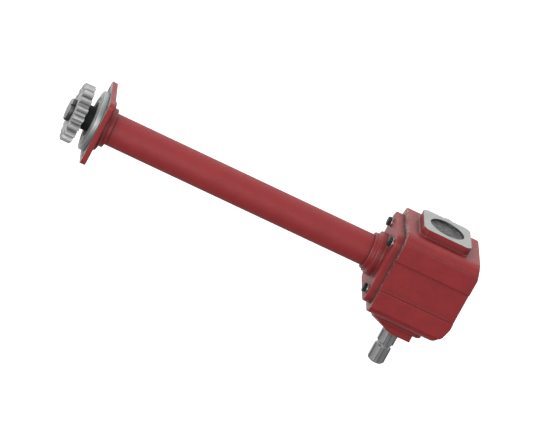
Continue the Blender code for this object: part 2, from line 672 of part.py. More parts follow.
def build_shafts(output, turning_input, finishes):
    """Both shafts with their gears, keys, sleeves and nuts."""
    steel, gear_steel, black, dark = (finishes[key] for key in ("steel", "gear", "black", "dark"))
    crown = bevel_gear_mesh(TUBE, CROWN_TEETH, PINION_TEETH, [(29.8, 17.5), (29.8, 31.0)],
                            [(50.0, 46.0), (54.0, 30.0), (60.0, 24.0), (67.2, 24.0), (67.2, 17.5)])
    pinion = bevel_gear_mesh(PTO, PINION_TEETH, CROWN_TEETH, [(41.9, 18.3), (41.9, 21.0)],
                             [(64.0, 27.0), (66.0, 24.0), (77.2, 24.0), (77.2, 18.3)])
    spur = spur_gear_mesh()
    through, stub = output_shaft_mesh(), input_shaft_mesh()
    through, crown = keyed("crown_key", TUBE, through, crown, 36.0, 60.0, 17.2, output, steel)
    through, spur = keyed("spur_key", TUBE, through, spur, SPUR_START + 2, SPUR_END - 2, 16.0, output, steel)
    stub, pinion = keyed("pinion_key", PTO, stub, pinion, 46.0, 72.0, 18.0, turning_input, steel)
    piece("output_shaft", through, steel, output)
    piece("input_shaft", stub, steel, turning_input)
    piece("crown_gear", crown, gear_steel, output)
    piece("bevel_pinion", pinion, gear_steel, turning_input)
    piece("spur_gear", spur, gear_steel, output)
    piece("crown_nut", slotted_nut(TUBE, OUTPUT_START + 0.8, 29.2, 15.3, 23.0), steel, output)
    piece("spur_nut", slotted_nut(TUBE, SPUR_END + 0.5, OUTPUT_END - 1, 14.3, 22.5), dark, output)
    piece("seal_sleeve", turned(TUBE, [(702.9, CONE_BORE), (702.9, 25.0), (SPUR_START - GAP, 25.0),
                                       (SPUR_START - GAP, CONE_BORE)]), black, output)
    piece("pinion_ring", split_ring(PTO, 39.5, 41.3, 17.1, 20.5), steel, turning_input)


def build_rings(root, finishes):
    """The internal retaining rings that hold the outer rings of the bearings."""
    steel = finishes["steel"]
    piece("rear_retaining_ring", split_ring(REAR, 96.9, 98.3, 32.5, 37.6), steel, root)
    piece("hub_retaining_ring", split_ring(TUBE, 64.3, 66.0, 32.5, 37.6), steel, root)
    piece("end_retaining_ring", split_ring(TUBE, 700.2, 701.7, 32.5, 37.6), steel, root)


def main():
    clear_scene()
    finishes = {
        "red": material("red_paint", (0.26, 0.032, 0.035), 0.45, 0.0),
        "machined": material("machined_iron", (0.45, 0.46, 0.44), 0.4, 0.9),
        "gear": material("gear_steel", (0.30, 0.30, 0.30), 0.38, 0.9),
        "steel": material("turned_steel", (0.42, 0.42, 0.42), 0.35, 0.95),
        "dark": material("dark_steel", (0.12, 0.125, 0.12), 0.5, 0.6),
        "black": material("black_oxide", (0.02, 0.02, 0.022), 0.45, 0.5),
        "zinc": material("zinc_plate", (0.55, 0.55, 0.52), 0.35, 0.9),
        "copper": material("copper_washer", (0.60, 0.30, 0.17), 0.35, 0.95),
        "rubber": material("seal_rubber", (0.03, 0.03, 0.03), 0.7, 0.0),
    }
    root = axis_empty("casing_frame")
    output = axis_empty("output_axis")
    turning_input = axis_empty("input_axis")
    build_casings(root, finishes)
    build_fasteners(root, finishes)
    build_rings(root, finishes)
    build_shafts(output, turning_input, finishes)
    bearings = [("input_front_bearing", PTO, 78.0, -1, 1.0, turning_input),
                ("input_rear_bearing", REAR, 78.0, -1, 1.0, turning_input),
                ("output_inner_bearing", TUBE, 66.6, 1, 1.0, output),
                ("output_outer_bearing", TUBE, 86.0, -1, 1.0, output),
                ("end_bearing", TUBE, 684.6, 1, 0.0, output)]
    for name, axis, start, facing, taper, turning in bearings:
        loose = axis_empty(name + "_axis")
        roller_bearing(name, axis, start, facing, taper, finishes["steel"], root, turning, loose)


main()
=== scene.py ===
"""Looks for the right angle bevel gearbox with its output tube.

Every piece is made in millimetres about the crossing of the two shaft axes, as in the CAD model, and
lifted to the axes' height.  The tube runs from the crossing along -X, the splined end of the input shaft
along -Y, and the capped end of the input bore looks along +Y.
"""

import math

import bmesh
import bpy
from mathutils import Matrix, Vector


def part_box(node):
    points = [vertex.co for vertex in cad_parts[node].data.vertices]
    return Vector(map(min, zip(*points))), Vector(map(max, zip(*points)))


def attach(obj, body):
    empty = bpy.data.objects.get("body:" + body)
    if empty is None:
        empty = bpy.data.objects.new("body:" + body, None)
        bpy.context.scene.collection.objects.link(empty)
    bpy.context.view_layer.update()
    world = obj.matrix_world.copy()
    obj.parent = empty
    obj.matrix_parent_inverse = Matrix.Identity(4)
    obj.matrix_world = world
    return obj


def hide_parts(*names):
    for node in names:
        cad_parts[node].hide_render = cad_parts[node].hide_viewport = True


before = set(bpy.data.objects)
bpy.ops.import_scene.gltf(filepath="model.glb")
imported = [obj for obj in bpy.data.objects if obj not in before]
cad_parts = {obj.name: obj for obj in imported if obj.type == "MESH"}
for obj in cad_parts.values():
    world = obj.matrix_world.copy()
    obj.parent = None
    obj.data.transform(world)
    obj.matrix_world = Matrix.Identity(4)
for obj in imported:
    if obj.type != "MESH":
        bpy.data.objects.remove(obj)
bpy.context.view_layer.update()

MM = 0.001
GAP = 0.3                        # room left between pieces that touch
FAR = 300.0                      # past the outside of any casting
FAR_SQUARE = [(-FAR, -FAR), (FAR, -FAR), (FAR, FAR), (-FAR, FAR)]
FOUR_CORNERS = [(-1, -1), (-1, 1), (1, -1), (1, 1)]

# An axis is its outward direction and the two directions that its angles are measured from.
TUBE = (Vector((-1, 0, 0)), Vector((0, 1, 0)), Vector((0, 0, 1)))
PTO = (Vector((0, -1, 0)), Vector((1, 0, 0)), Vector((0, 0, 1)))
REAR = (Vector((0, 1, 0)), Vector((1, 0, 0)), Vector((0, 0, 1)))
BACK = (Vector((1, 0, 0)), Vector((0, 1, 0)), Vector((0, 0, 1)))
UP = (Vector((0, 0, 1)), Vector((1, 0, 0)), Vector((0, 1, 0)))
DOWN = (Vector((0, 0, -1)), Vector((1, 0, 0)), Vector((0, 1, 0)))


# ---------------------------------------------------------------- sizes read from the frame

def reach(node, axis):
    """How near and how far a CAD node reaches along an axis from the crossing, in millimetres."""
    low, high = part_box(node)
    centre = Vector((0, 0, AXIS_HEIGHT * MM))
    ends = [(corner - centre).dot(axis[0]) / MM for corner in (low, high)]
    return min(ends), max(ends)


shaft_low, shaft_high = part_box("output_shaft")
AXIS_HEIGHT = (shaft_low.z + shaft_high.z) / 2 / MM
JOINT_FACE = -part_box("gearbox_housing")[0].x / MM
TUBE_START, TUBE_END = reach("extension_tube", TUBE)
PLATE_OUTER = reach("end_flange", TUBE)[1]
SPUR_START, SPUR_END = reach("spur_gear", TUBE)
OUTPUT_START, OUTPUT_END = reach("output_shaft", TUBE)
PTO_END = reach("input_shaft", PTO)[1]
NOSE_FACE = reach("gearbox_housing", PTO)[1]
PAD_FACE = reach("gearbox_housing", REAR)[1]

# ---------------------------------------------------------------- sizes of the castings

SPARE = 3.0                      # casting left on each machined face before it is cut
VOXEL = 1.3                      # of the remesh that rounds a casting's corners

# Housing: half widths and faces measured from the crossing
BACK_FACE = 83.5
BODY_HALF_Y = 91.0
BODY_HALF_Z = 83.0
SHOULDER_Y = 73.0                # where the rounded shoulders start
SHOULDER_Z = 58.0
BAND_INNER = 33.5                # the two raised bands on the upper and lower faces
BAND_RISE = 4.0
BACK_CORNERS = ((62.0, -BODY_HALF_Y), (78.0, -68.0), (BACK_FACE, -48.0),
                (BACK_FACE, 68.0), (78.0, BODY_HALF_Y))         # x and y round the back end
PAD_HALF_X = 51.0                # octagonal pads round the input bearings
REAR_PAD_HALF_Z = 51.5
FRONT_PAD_HALF_Z = 41.0
PAD_CORNER = 9.0
LUG_RADIUS = 9.0                 # rounded lug on the lower edge of the rear pad
LUG_X = 4.0
LUG_Z = -47.5
NOSE_BACK_X = 35.5               # boss that holds the input seal
NOSE_FRONT_X = -46.0
NOSE_HALF_Z = 36.0
NOSE_FACET = (Vector((-3, -125, 36)), Vector((-48, -105, 36)), Vector((-36, -123, 0)))
FOOT_HALF_X = 58.0               # machined foot under the casting
FOOT_HALF_Y = 62.0
FOOT_BOLT_X = 42.0
FOOT_BOLT_Y = 46.0
FOOT_HOLE_RADIUS = 6.0
FOOT_HOLE_DEPTH = 16.0
PLUGS = {"filler_plug": (-26.0, -3.0), "level_plug": (24.0, -22.0), "drain_plug": (0.0, -56.0)}
PLUG_FACE = BACK_FACE + 3.0
PLUG_BOSS_RADIUS = 14.0
PLUG_HOLE_RADIUS = 8.3

# Rooms and bores of the housing
CROWN_ROOM = 65.5                # radius
CROWN_ROOM_END = 68.0
PINION_ROOM = 47.0               # radius
BEARING_ROOM = 76.0              # where the bearing bores start
BEARING_SHOULDER = 96.3          # the end of the front bearing's seat
BORE_RADIUS = 36.0
CUP_RADIUS = 35.7                # of what sits in a bearing bore
RING_GROOVE = 38.0               # radius of a retaining ring's groove
SHAFT_HOLE_RADIUS = 22.0
SEAL_START = 111.0
SEAL_HOLE_RADIUS = 26.0

# Flange bolted to the joint face, with its hub, collars and tube socket
FLANGE_INNER = 76.3
FLANGE_OUTER = 92.0
FLANGE_HALF = 77.0
FLANGE_CORNER = 24.0
FLANGE_BOLT = 53.0
SPOT_FACE = FLANGE_OUTER - 0.4
SPOT_RADIUS = 12.5
HUB_INNER = 61.0
HUB_RADIUS = 46.0
COLLARS = ((107.0, 45.0), (118.0, 38.0))        # how far along the tube, and radius
TUBE_RADIUS = 32.5
TUBE_BORE = 26.5

# End plate and the bearing carrier in it
PLATE_INNER = 689.0
PLATE_HALF = 68.5
PLATE_CORNER = 12.0
PLATE_BOLT = 53.0
PLATE_HOLE_RADIUS = 5.5
PLATE_COLLARS = ((670.0, 40.0), (680.0, 51.0))  # where each starts, and radius
CARRIER_START = 682.5
CARRIER_SPIGOT = 44.0
CARRIER_RADIUS = 61.0
CARRIER_FACE = 712.0

# Shafts and fasteners
BEARING_SEAT = 17.5
CONE_BORE = 17.8
BOLT_RADIUS = 5.0
HEAD_FLAT = 8.5                  # from a hexagon's middle to its flat
WASHER_THICK = 2.0


# ---------------------------------------------------------------- material nodes

def set_range(node, low, high, out_low, out_high):
    for key, number in (("From Min", low), ("From Max", high), ("To Min", out_low), ("To Max", out_high)):
        node.inputs[key].default_value = number


class Nodes:
    """Short calls for building one material's node tree."""

    def __init__(self, name):
        self.material = bpy.data.materials.new(name)
        self.material.use_nodes = True
        self.tree = self.material.node_tree
        self.shader = self.tree.nodes["Principled BSDF"]
        self.place = self.add("ShaderNodeTexCoord").outputs["Object"]

    def add(self, kind, **settings):
        node = self.tree.nodes.new(kind)
        for key, value in settings.items():
            setattr(node, key, value)
        return node

    def link(self, output, socket):
        self.tree.links.new(output, socket)

    def stretched(self, scale):
        """The place, scaled differently along each axis."""
        node = self.add("ShaderNodeMapping")
        node.inputs["Scale"].default_value = scale
        self.link(self.place, node.inputs["Vector"])
        return node.outputs["Vector"]

    def noise(self, scale, detail=4.0, roughness=0.55, place=None):
        node = self.add("ShaderNodeTexNoise")
        node.inputs["Scale"].default_value = scale
        node.inputs["Detail"].default_value = detail
        node.inputs["Roughness"].default_value = roughness
        self.link(place or self.place, node.inputs["Vector"])
        return node.outputs["Fac"]

    def ramp(self, value, low, high, out_low, out_high):
        node = self.add("ShaderNodeMapRange")
        set_range(node, low, high, out_low, out_high)
        self.link(value, node.inputs["Value"])
        return node.outputs["Result"]

    def mix(self, factor, first, second):
        """A colour between two others, each a colour or another node's output."""
        node = self.add("ShaderNodeMix", data_type="RGBA")
        self.link(factor, node.inputs["Factor"])
        for socket, colour in ((node.inputs[6], first), (node.inputs[7], second)):      # its A and B colours
            if isinstance(colour, tuple):
                socket.default_value = (*colour, 1.0)
            else:
                self.link(colour, socket)
        return node.outputs[2]

    def corners(self, reach_in, strength):
        """Painted shade for inner corners: how deep in an inner corner a place lies, from the space open
        around it, as a factor that darkens the colour.
        """
        node = self.add("ShaderNodeAmbientOcclusion", samples=8)
        node.inputs["Distance"].default_value = reach_in
        return self.ramp(node.outputs["AO"], 0.5, 0.99, strength, 0.0)

    def bump(self, height, strength, distance, under=None):
        node = self.add("ShaderNodeBump")
        node.inputs["Strength"].default_value = strength
        node.inputs["Distance"].default_value = distance
        self.link(height, node.inputs["Height"])
        if under:
            self.link(under, node.inputs["Normal"])
        return node.outputs["Normal"]

    def finish(self, colour, roughness, metallic, normal=None):
        self.link(colour, self.shader.inputs["Base Color"])
        self.link(roughness, self.shader.inputs["Roughness"])
        self.shader.inputs["Metallic"].default_value = metallic
        if normal:
            self.link(normal, self.shader.inputs["Normal"])
        return self.material


def painted_casting(name, main, shade, grain, low, high):
    """Enamel over cast iron: sand grain under the paint, soft mottling and painted shade that darkens the
    inner corners.
    """
    n = Nodes(name)
    mottle = n.ramp(n.noise(38.0, 5.0), 0.35, 0.65, 0.0, 1.0)
    speck = n.ramp(n.noise(900.0, 2.0), 0.62, 0.72, 0.0, 0.35)
    colour = n.mix(mottle, shade, main)
    colour = n.mix(speck, colour, tuple(0.6 * channel for channel in shade))
    # painted shade: the colour darkens to a near black red in the inner corners, where less light reaches
    colour = n.mix(n.corners(0.02, 0.8), colour, (0.045, 0.008, 0.009))
    roughness = n.ramp(n.noise(140.0, 3.0), 0.3, 0.7, low, high)
    sand = n.bump(n.noise(520.0, 5.0, 0.6), 0.35 * grain, 0.0006)
    waves = n.bump(n.noise(60.0, 2.0), 0.25 * grain, 0.0012, sand)
    n.shader.inputs["Specular IOR Level"].default_value = 0.42
    return n.finish(colour, roughness, 0.0, waves)


def worn_edge(name, paint, metal):
    """A rough machined rim with most of the paint's overspray still on it."""
    n = Nodes(name)
    patches = n.ramp(n.noise(260.0, 4.0, 0.65), 0.5, 0.58, 0.0, 1.0)
    grain = n.noise(700.0, 4.0, 0.6)
    colour = n.mix(patches, paint, metal)
    colour = n.mix(n.ramp(grain, 0.45, 0.7, 0.0, 0.5), colour, tuple(0.5 * channel for channel in paint))
    return n.finish(colour, n.ramp(grain, 0.3, 0.7, 0.45, 0.7), 0.15, n.bump(grain, 0.5, 0.0006))


def machined(name, main, shade, stretch, mark, low=0.28, high=0.46, metallic=0.85, painted_shade=0.8):
    """Bare machined metal: tool marks along one direction, with faint stains and painted shade in the inner
    corners.
    """
    n = Nodes(name)
    marks = n.noise(mark, 3.0, 0.6, n.stretched(stretch))
    stain = n.ramp(n.noise(55.0, 4.0), 0.35, 0.7, 0.0, 1.0)
    colour = n.mix(stain, main, shade)
    colour = n.mix(n.ramp(marks, 0.3, 0.7, 0.0, 0.5), colour, tuple(0.8 * channel for channel in main))
    # painted shade: the colour darkens in the inner corners, where less light reaches
    colour = n.mix(n.corners(0.012, painted_shade), colour, tuple(0.12 * channel for channel in main))
    roughness = n.ramp(marks, 0.25, 0.75, low, high)
    return n.finish(colour, roughness, metallic, n.bump(marks, 0.25, 0.0003))


def plain(name, main, shade, scale, low, high, metallic, bump):
    """A finish with fine grain and mottling but no direction, such as rubber, oxide or plate."""
    n = Nodes(name)
    grain = n.noise(scale, 4.0, 0.6)
    colour = n.mix(n.ramp(n.noise(scale / 3, 4.0), 0.38, 0.62, 0.0, 1.0), main, shade)
    return n.finish(colour, n.ramp(grain, 0.3, 0.7, low, high), metallic, n.bump(grain, bump, 0.0004))


ALONG_X = (0.15, 1.0, 1.0)       # marks drawn out along the tube
ROUND_X = (1.0, 0.03, 0.03)      # turning marks round the tube's axis
ROUND_Y = (0.03, 1.0, 0.03)      # turning marks round the input axis
FACED = (1.0, 1.0, 0.12)         # milling marks across a face

RED = painted_casting("red_enamel", (0.285, 0.022, 0.025), (0.248, 0.019, 0.022), 1.0, 0.40, 0.56)
RED_TUBE = painted_casting("red_enamel_tube", (0.285, 0.022, 0.025), (0.256, 0.020, 0.023), 0.35, 0.55, 0.68)
JOINT = worn_edge("painted_joint_edge", (0.27, 0.055, 0.055), (0.46, 0.42, 0.40))
FACE = machined("faced_iron", (0.405, 0.41, 0.40), (0.34, 0.35, 0.34), FACED, 900.0, 0.42, 0.6, 0.5)
BORED = machined("bored_iron", (0.30, 0.305, 0.30), (0.24, 0.245, 0.24), ROUND_Y, 1400.0)
TURNED_X = machined("turned_steel_x", (0.40, 0.41, 0.40), (0.33, 0.34, 0.335), ROUND_X, 1500.0,
                    0.4, 0.55, 0.6)
TURNED_Y = machined("turned_steel_y", (0.44, 0.445, 0.445), (0.36, 0.365, 0.365), ROUND_Y, 1500.0,
                    0.34, 0.5, 0.75)
PILOT = machined("turned_iron", (0.43, 0.45, 0.44), (0.36, 0.385, 0.375), ROUND_X, 1300.0,
                 0.38, 0.48, 0.65, 0.5)
GEAR = machined("gear_steel", (0.48, 0.48, 0.485), (0.40, 0.40, 0.405), ALONG_X, 1100.0, 0.45, 0.6, 0.5, 0.5)
HUB = machined("dark_nut", (0.12, 0.122, 0.12), (0.075, 0.077, 0.075), ROUND_X, 1300.0, 0.4, 0.55, 0.6)
CAP = plain("pressed_cap", (0.105, 0.108, 0.106), (0.030, 0.032, 0.031), 420.0, 0.4, 0.6, 0.5, 1.0)
OXIDE = plain("black_oxide", (0.010, 0.010, 0.011), (0.018, 0.018, 0.019), 900.0, 0.38, 0.55, 0.3, 0.2)
SLEEVE = plain("black_sleeve", (0.005, 0.005, 0.005), (0.011, 0.011, 0.011), 800.0, 0.6, 0.8, 0.0, 0.5)
SLEEVE.node_tree.nodes["Principled BSDF"].inputs["Specular IOR Level"].default_value = 0.25
ZINC = plain("zinc_plate", (0.58, 0.585, 0.56), (0.48, 0.49, 0.47), 650.0, 0.25, 0.42, 0.9, 0.15)
COPPER = plain("copper", (0.55, 0.27, 0.15), (0.42, 0.20, 0.12), 500.0, 0.3, 0.48, 0.95, 0.15)
RUBBER = plain("seal_rubber", (0.022, 0.022, 0.023), (0.034, 0.034, 0.034), 900.0, 0.55, 0.75, 0.0, 0.4)
PAPER = plain("gasket_paper", (0.17, 0.15, 0.12), (0.12, 0.105, 0.09), 600.0, 0.75, 0.9, 0.0, 0.5)
BEARING = machined("bearing_steel", (0.44, 0.44, 0.45), (0.38, 0.38, 0.39), ROUND_X, 1800.0, 0.2, 0.32)


# ---------------------------------------------------------------- meshes

def at(axis, along, radius, angle):
    return axis[0] * along + axis[1] * (radius * math.cos(angle)) + axis[2] * (radius * math.sin(angle))


def ring(axis, along, radius, sides):
    if radius == 0:
        return [axis[0] * along]
    return [at(axis, along, radius, 2 * math.pi * k / sides) for k in range(sides)]


def bridge(bm, one, other):
    """Faces between two closed rows of vertices; the longer holds a whole multiple of the shorter."""
    if len(one) < len(other):
        one, other = other, one
    step = len(one) // len(other)
    for k in range(len(one)):
        after = (k + 1) % len(one)
        near = other[((k + step // 2) // step) % len(other)]
        far = other[((k + 1 + step // 2) // step) % len(other)]
        bm.faces.new(list(dict.fromkeys((one[k], one[after], far, near))))


def skin(sections, closed=False):
    """A solid through closed sections of points, lifted to the axes' height."""
    lift = Vector((0, 0, AXIS_HEIGHT))
    bm = bmesh.new()
    rows = [[bm.verts.new((point + lift) * MM) for point in section] for section in sections]
    for one, other in zip(rows, rows[1:]):
        bridge(bm, one, other)
    if closed:
        bridge(bm, rows[-1], rows[0])
    else:
        for end in (rows[0], rows[-1]):
            if len(end) > 1:
                bm.faces.new(end)
    bmesh.ops.recalc_face_normals(bm, faces=bm.faces)
    mesh = bpy.data.meshes.new("solid")
    bm.to_mesh(mesh)
    bm.free()
    return mesh


def turned(axis, profile, sides=96):
    """A turned solid from (along, radius) pairs; it ends on the axis or is a ring."""
    on_axis = profile[0][1] == 0 and profile[-1][1] == 0
    return skin([ring(axis, along, radius, sides) for along, radius in profile], closed=not on_axis)


def rod(axis, start, end, radius, sides=64):
    return skin([ring(axis, start, radius, sides), ring(axis, end, radius, sides)])


def prism(axis, start, end, outline):
    return skin([[axis[0] * along + axis[1] * first + axis[2] * second for first, second in outline]
                 for along in (start, end)])


def block(low, high):
    outline = [(low[0], low[1]), (high[0], low[1]), (high[0], high[1]), (low[0], high[1])]
    return prism(UP, low[2], high[2], outline)


def shifted(mesh, first, second, axis):
    for vertex in mesh.vertices:
        vertex.co += (axis[1] * first + axis[2] * second) * MM
    return mesh


def cut_corners(half_a, half_b, corner):
    return [(half_a, half_b - corner), (half_a - corner, half_b),
            (corner - half_a, half_b), (-half_a, half_b - corner),
            (-half_a, corner - half_b), (corner - half_a, -half_b),
            (half_a - corner, -half_b), (half_a, corner - half_b)]


def round_corners(half_a, half_b, radius, steps=14):
    points = []
    for quarter in range(4):
        centre_a = (half_a - radius) * (1 if quarter in (0, 3) else -1)
        centre_b = (half_b - radius) * (1 if quarter in (0, 1) else -1)
        for k in range(steps + 1):
            angle = math.pi / 2 * (quarter + k / steps)
            points.append((centre_a + radius * math.cos(angle), centre_b + radius * math.sin(angle)))
    return points


def hexagon(flat):
    corner = flat / math.cos(math.pi / 6)
    return [(corner * math.cos(math.pi / 3 * k), corner * math.sin(math.pi / 3 * k)) for k in range(6)]


def scratch(mesh):
    made = bpy.data.objects.new("scratch", mesh)
    bpy.context.collection.objects.link(made)
    return made


def baked(body, *others):
    """The mesh of an object with its modifiers applied; the objects it was made from are removed."""
    graph = bpy.context.evaluated_depsgraph_get()
    result = bpy.data.meshes.new_from_object(body.evaluated_get(graph))
    for made in (body, *others):
        bpy.data.objects.remove(made, do_unlink=True)
    return result


def combine(mesh, tool, operation, solver="EXACT"):
    body, cutter = scratch(mesh), scratch(tool)
    boolean = body.modifiers.new("boolean", "BOOLEAN")
    boolean.operation = operation
    boolean.object = cutter
    boolean.solver = solver
    return baked(body, cutter)


def add(mesh, *tools):
    for tool in tools:
        mesh = combine(mesh, tool, "UNION")
    return mesh


def cut(mesh, *tools):
    for tool in tools:
        mesh = combine(mesh, tool, "DIFFERENCE", "MANIFOLD")
    return mesh


def cast(mesh, voxel, rounds):
    """A casting's skin: an even mesh whose inner and outer corners are rounded by smoothing."""
    body = scratch(mesh)
    remesh = body.modifiers.new("remesh", "REMESH")
    remesh.mode = "VOXEL"
    remesh.voxel_size = voxel * MM
    smooth = body.modifiers.new("smooth", "SMOOTH")
    smooth.factor = 0.5
    smooth.iterations = rounds
    return baked(body)


# ---------------------------------------------------------------- pieces

BARE_FACE, BARE_BORE, BARE_JOINT = 1, 2, 3       # a piece's material slots after its own finish


def piece(name, mesh, finish, body, replaced=(), bevel=0.0, machined_faces=(), bores=()):
    """Links a finished mesh as a visible piece that rides on a CAD body."""
    mesh.name = name
    mesh.materials.clear()
    for each in (finish, FACE, BORED, JOINT):
        mesh.materials.append(each)
    flat_faces(mesh, machined_faces)
    for bore in bores:
        bore_faces(mesh, *bore)
    mesh.shade_smooth()
    mesh.set_sharp_from_angle(angle=math.radians(32))
    made = bpy.data.objects.new(name, mesh)
    bpy.context.collection.objects.link(made)
    if bevel:
        rounding = made.modifiers.new("bevel", "BEVEL")
        rounding.width = bevel * MM
        rounding.segments = 2
        rounding.limit_method = "ANGLE"
        rounding.angle_limit = math.radians(34)
        rounding.harden_normals = True
    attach(made, body)
    if replaced:
        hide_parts(*replaced)
    return made


def flat_faces(mesh, planes):
    """Bares the metal of the faces that lie in one of the planes: (axis, distance along it, finish)."""
    lift = Vector((0, 0, AXIS_HEIGHT))
    for face in mesh.polygons:
        centre = face.center / MM - lift
        for axis, distance, index in planes:
            if face.normal.dot(axis[0]) > 0.99 and abs(centre.dot(axis[0]) - distance) < 0.05:
                face.material_index = index


def bore_faces(mesh, axis, start, end, radius):
    """Bares the metal of the faces inside a round bore."""
    lift = Vector((0, 0, AXIS_HEIGHT))
    for face in mesh.polygons:
        centre = face.center / MM - lift
        along = centre.dot(axis[0])
        across = centre - axis[0] * along
        if start < along < end and across.length < radius and face.normal.dot(across) <= 0.1:
            face.material_index = BARE_BORE


def body_section(steps=12):
    """The housing's y and z outline, with elliptical shoulders."""
    points = []
    for quarter in range(4):
        side_y = 1 if quarter in (0, 3) else -1
        side_z = 1 if quarter in (0, 1) else -1
        for k in range(steps + 1):
            angle = math.pi / 2 * (quarter + k / steps)
            points.append((side_y * SHOULDER_Y + (BODY_HALF_Y - SHOULDER_Y) * math.cos(angle),
                           side_z * SHOULDER_Z + (BODY_HALF_Z - SHOULDER_Z) * math.sin(angle)))
    return points


def nose_facet():
    """What is cut off the seal boss's upper corner on the tube side: all beyond a sloping plane."""
    first, second, third = NOSE_FACET
    along = (second - first).normalized()
    outward = along.cross(third - first).normalized()
    start = outward.dot(first)
    return prism((outward, along, outward.cross(along)), start, start + 40,
                 [(-60, -6), (12, -6), (12, 80), (-60, 80)])


def housing_casting():
    """The rough casting, with spare metal on the faces still to be machined."""
    band_top = BODY_HALF_Z + BAND_RISE
    mesh = prism(BACK, -JOINT_FACE - SPARE, BACK_FACE, body_section())
    for side_y in (-1, 1):
        low_y, high_y = sorted((side_y * BAND_INNER, side_y * SHOULDER_Y))
        mesh = add(mesh, block((-JOINT_FACE - SPARE, low_y, -band_top), (BACK_FACE, high_y, band_top)))
    plan = [(-JOINT_FACE - SPARE, -BODY_HALF_Y), *BACK_CORNERS, (-JOINT_FACE - SPARE, BODY_HALF_Y)]
    mesh = combine(mesh, prism(UP, -2 * BODY_HALF_Z, 2 * BODY_HALF_Z, plan), "INTERSECT")
    nose = [(NOSE_BACK_X, NOSE_HALF_Z), (NOSE_FRONT_X, NOSE_HALF_Z),
            (NOSE_FRONT_X, -NOSE_HALF_Z), (NOSE_BACK_X, -NOSE_HALF_Z)]
    mesh = add(mesh, prism(REAR, 0, PAD_FACE + SPARE, cut_corners(PAD_HALF_X, REAR_PAD_HALF_Z, PAD_CORNER)),
               shifted(rod(REAR, BODY_HALF_Y - 10, PAD_FACE + SPARE, LUG_RADIUS), LUG_X, LUG_Z, REAR),
               prism(PTO, 0, PAD_FACE, cut_corners(PAD_HALF_X, FRONT_PAD_HALF_Z, PAD_CORNER)),
               prism(PTO, 0, NOSE_FACE + SPARE, nose),
               block((-FOOT_HALF_X, -FOOT_HALF_Y, -AXIS_HEIGHT - SPARE), (FOOT_HALF_X, FOOT_HALF_Y, 0)))
    for first, second in PLUGS.values():
        boss = rod(BACK, BACK_FACE - 10, PLUG_FACE + SPARE, PLUG_BOSS_RADIUS)
        mesh = add(mesh, shifted(boss, first, second, BACK))
    mesh = combine(mesh, nose_facet(), "DIFFERENCE")
    return cast(mesh, VOXEL, 4)


def face_housing(mesh):
    """Machines the joint face, the rear pad, the boss, the foot and the plug bosses."""
    return cut(mesh, block((-FAR, -FAR, -FAR), (-JOINT_FACE, FAR, FAR)),
               block((-FAR, PAD_FACE, -FAR), (FAR, FAR, FAR)),
               block((-FAR, -FAR, -FAR), (FAR, -NOSE_FACE, FAR)),
               block((-FAR, -FAR, -FAR), (FAR, FAR, -AXIS_HEIGHT)),
               block((PLUG_FACE, -FAR, -FAR), (FAR, FAR, FAR)))


def bore_housing(mesh):
    """Cuts the gears' rooms and the two bearing bores, with a ring groove behind the rear cap."""
    ring_start, ring_end = 96.6, 98.6
    rear_bore = [(PAD_FACE + 5, 0), (PAD_FACE + 5, BORE_RADIUS + 5.8), (PAD_FACE - 0.8, BORE_RADIUS),
                 (ring_end, BORE_RADIUS), (ring_end, RING_GROOVE), (ring_start, RING_GROOVE),
                 (ring_start, BORE_RADIUS), (BEARING_ROOM - 10, BORE_RADIUS), (BEARING_ROOM - 10, 0)]
    front_bore = [(BEARING_ROOM - 10, 0), (BEARING_ROOM - 10, BORE_RADIUS), (BEARING_SHOULDER, BORE_RADIUS),
                  (BEARING_SHOULDER, SHAFT_HOLE_RADIUS), (SEAL_START, SHAFT_HOLE_RADIUS),
                  (SEAL_START, SEAL_HOLE_RADIUS), (NOSE_FACE - 1, SEAL_HOLE_RADIUS),
                  (NOSE_FACE + 5, SEAL_HOLE_RADIUS + 6), (NOSE_FACE + 5, 0)]
    return cut(mesh, rod(TUBE, -CROWN_ROOM_END, JOINT_FACE + 5, CROWN_ROOM, 96),
               rod(REAR, -BEARING_ROOM - 1, BEARING_ROOM + 1, PINION_ROOM, 96),
               turned(REAR, rear_bore), turned(PTO, front_bore))


def housing():
    """The cast case: rounded casting first, then its machined faces, rooms, bores and holes."""
    mesh = bore_housing(face_housing(housing_casting()))
    for side_a, side_b in FOUR_CORNERS:
        bolt_hole = rod(TUBE, 50.0, JOINT_FACE + 5, BOLT_RADIUS + GAP, 32)
        foot_hole = rod(DOWN, AXIS_HEIGHT - FOOT_HOLE_DEPTH, AXIS_HEIGHT + 5, FOOT_HOLE_RADIUS, 32)
        mesh = cut(mesh, shifted(bolt_hole, side_a * FLANGE_BOLT, side_b * FLANGE_BOLT, TUBE),
                   shifted(foot_hole, side_a * FOOT_BOLT_X, side_b * FOOT_BOLT_Y, DOWN))
    for first, second in PLUGS.values():
        plug_hole = rod(BACK, CROWN_ROOM_END - 5, PLUG_FACE + 5, PLUG_HOLE_RADIUS, 32)
        mesh = cut(mesh, shifted(plug_hole, first, second, BACK))
    piece("housing_casting", mesh, RED, "casing", ["gearbox_housing"],
          machined_faces=[(TUBE, JOINT_FACE, BARE_JOINT), (REAR, PAD_FACE, BARE_FACE),
                          (PTO, NOSE_FACE, BARE_FACE), (DOWN, AXIS_HEIGHT, BARE_FACE),
                          (BACK, PLUG_FACE, BARE_FACE)],
          bores=[(REAR, -NOSE_FACE, PAD_FACE - 0.01, BORE_RADIUS + 1)])


def bolt_places():
    """Where the flange's bolts stand, in the order that their nodes are numbered."""
    return [(side_a * FLANGE_BOLT, side_b * FLANGE_BOLT)
            for side_a, side_b in ((-1, 1), (1, 1), (1, -1), (-1, -1))]


